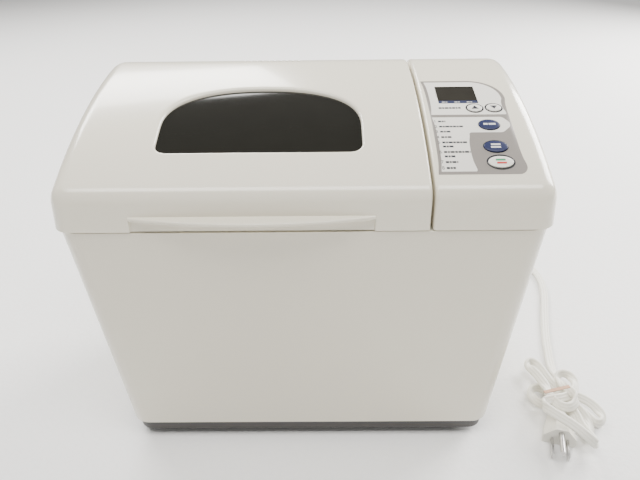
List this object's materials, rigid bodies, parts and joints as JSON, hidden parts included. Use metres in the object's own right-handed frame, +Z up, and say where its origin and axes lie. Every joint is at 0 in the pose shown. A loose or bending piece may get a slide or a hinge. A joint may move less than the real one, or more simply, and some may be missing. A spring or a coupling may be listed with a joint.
{
  "type": "bread machine",
  "caption": "Household bread machine: hinged lid with a smoked window, control panel with push buttons, lift-out pan with kneading paddle, belt drive and a bundled flat mains cord.",
  "frame": {"origin": "on the surface it stands on, under the middle of the machine without its cord", "axes": "+X to the right seen from the front, +Y from front to back, +Z up"},
  "size_m": [0.4498, 0.3285, 0.2908],
  "materials": {
    "white_shell": "glossy warm white ABS",
    "smoked_window": "smoked, polished",
    "liner_metal": "satin",
    "liner_glass": "clear",
    "label_film": "satin printed film",
    "lcd_cover": "clear",
    "lcd_dark": "satin",
    "circuit_board": "solder mask",
    "black_plastic": "satin",
    "button_white": "satin",
    "button_navy": "satin",
    "dark_base": "textured",
    "rubber_feet": "matte",
    "steel_parts": "satin",
    "chamber_steel": "galvanised",
    "element_sheath": "heat-darkened",
    "ceramic": "matte ceramic",
    "pan_coating": "non-stick coating",
    "paddle_coating": "non-stick coating",
    "cast_alloy": "cast",
    "chrome_wire": "polished",
    "pulley_alloy": "machined",
    "belt_rubber": "matte",
    "motor_can": "satin",
    "cord_jacket": "soft white PVC",
    "plug_metal": "nickel-plated",
    "band_rubber": "matte"
  },
  "bodies": {
    "housing": {"control_housing": "white_shell", "control_label": "label_film", "lcd_window": "lcd_cover", "lcd_module": "lcd_dark", "control_board": "circuit_board", "tact_switches": "black_plastic", "body_shell": "white_shell", "base_tray": "dark_base", "foot_front_left": "rubber_feet", "foot_front_right": "rubber_feet", "foot_rear_left": "rubber_feet", "foot_rear_right": "rubber_feet", "top_deck": "white_shell", "hinge_brackets": "steel_parts", "hinge_pins": "steel_parts", "chamber": "chamber_steel", "heating_element": "element_sheath", "element_insulators": "ceramic", "chamber_spacers": "steel_parts", "temp_probe": "steel_parts", "pan_seat": "chamber_steel", "chassis_plate": "chamber_steel", "bearing_housing": "cast_alloy", "drive_belt": "belt_rubber", "motor": "motor_can", "partition": "chamber_steel", "power_board": "circuit_board", "transformer": "motor_can", "base_screws": "steel_parts", "strain_relief": "cord_jacket", "power_cord": "cord_jacket", "cord_bundle": "cord_jacket", "plug_body": "cord_jacket", "plug_blades": "plug_metal", "cord_band": "band_rubber"},
    "lid": {"lid_shell": "white_shell", "window_pane": "smoked_window", "lid_liner": "liner_metal", "liner_glass": "liner_glass"},
    "pan": {"bread_pan": "pan_coating", "pan_foot": "pan_coating", "pan_bush": "cast_alloy", "pan_ears": "steel_parts"},
    "bail": {"bail_wire": "chrome_wire", "bail_grip": "black_plastic"},
    "kneader": {"pan_shaft": "steel_parts", "pan_coupler": "steel_parts", "paddle": "paddle_coating"},
    "drive": {"drive_shaft": "steel_parts", "large_pulley": "pulley_alloy", "drive_coupler": "cast_alloy"},
    "motor_rotor": {"motor_shaft": "steel_parts", "small_pulley": "pulley_alloy"},
    "button_up_body": {"button_up": "button_white"},
    "button_down_body": {"button_down": "button_white"},
    "button_select_body": {"button_select": "button_navy"},
    "button_crust_body": {"button_crust": "button_navy"},
    "button_start_body": {"button_start": "button_white"}
  },
  "joints": [
    {"name": "lid_hinge", "type": "hinge", "parent": "housing", "child": "lid", "pos_m": [0, 0.0965, 0.23], "axis": [-1, 0, 0], "range_deg": [0, 85]},
    {"name": "pan_lift", "type": "slide", "parent": "housing", "child": "pan", "axis": [0, 0, 1], "range_m": [0, 0.01]},
    {"name": "bail_swing", "type": "hinge", "parent": "pan", "child": "bail", "pos_m": [-0.04, 0.0025, 0.193], "axis": [-1, 0, 0], "range_deg": [0, 180]},
    {"name": "drive_spin", "type": "hinge", "parent": "housing", "child": "drive", "pos_m": [-0.04, 0.0025, 0.035], "axis": [0, 0, 1], "continuous": true},
    {"name": "motor_spin", "type": "hinge", "parent": "housing", "child": "motor_rotor", "pos_m": [0.125, 0.0025, 0.035], "axis": [0, 0, 1], "continuous": true},
    {"name": "kneader_spin", "type": "hinge", "parent": "pan", "child": "kneader", "pos_m": [-0.04, 0.0025, 0.08], "axis": [0, 0, 1], "continuous": true},
    {"name": "button_up_press", "type": "slide", "parent": "housing", "child": "button_up_body", "axis": [0, 0.2739, -0.9618], "range_m": [0, 0.001], "stiffness_N_per_m": 400, "springref_m": -0.0005},
    {"name": "button_down_press", "type": "slide", "parent": "housing", "child": "button_down_body", "axis": [0, 0.2734, -0.9619], "range_m": [0, 0.001], "stiffness_N_per_m": 400, "springref_m": -0.0005},
    {"name": "button_select_press", "type": "slide", "parent": "housing", "child": "button_select_body", "axis": [0, 0.3211, -0.947], "range_m": [0, 0.001], "stiffness_N_per_m": 400, "springref_m": -0.0005},
    {"name": "button_crust_press", "type": "slide", "parent": "housing", "child": "button_crust_body", "axis": [0, 0.3739, -0.9275], "range_m": [0, 0.001], "stiffness_N_per_m": 400, "springref_m": -0.0005},
    {"name": "button_start_press", "type": "slide", "parent": "housing", "child": "button_start_body", "axis": [0, 0.4073, -0.9133], "range_m": [0, 0.001], "stiffness_N_per_m": 400, "springref_m": -0.0005}
  ],
  "couplings": [
    {"joint": "motor_spin", "follows": "drive_spin", "ratio": 4.2222},
    {"joint": "kneader_spin", "follows": "drive_spin", "ratio": 1}
  ]
}
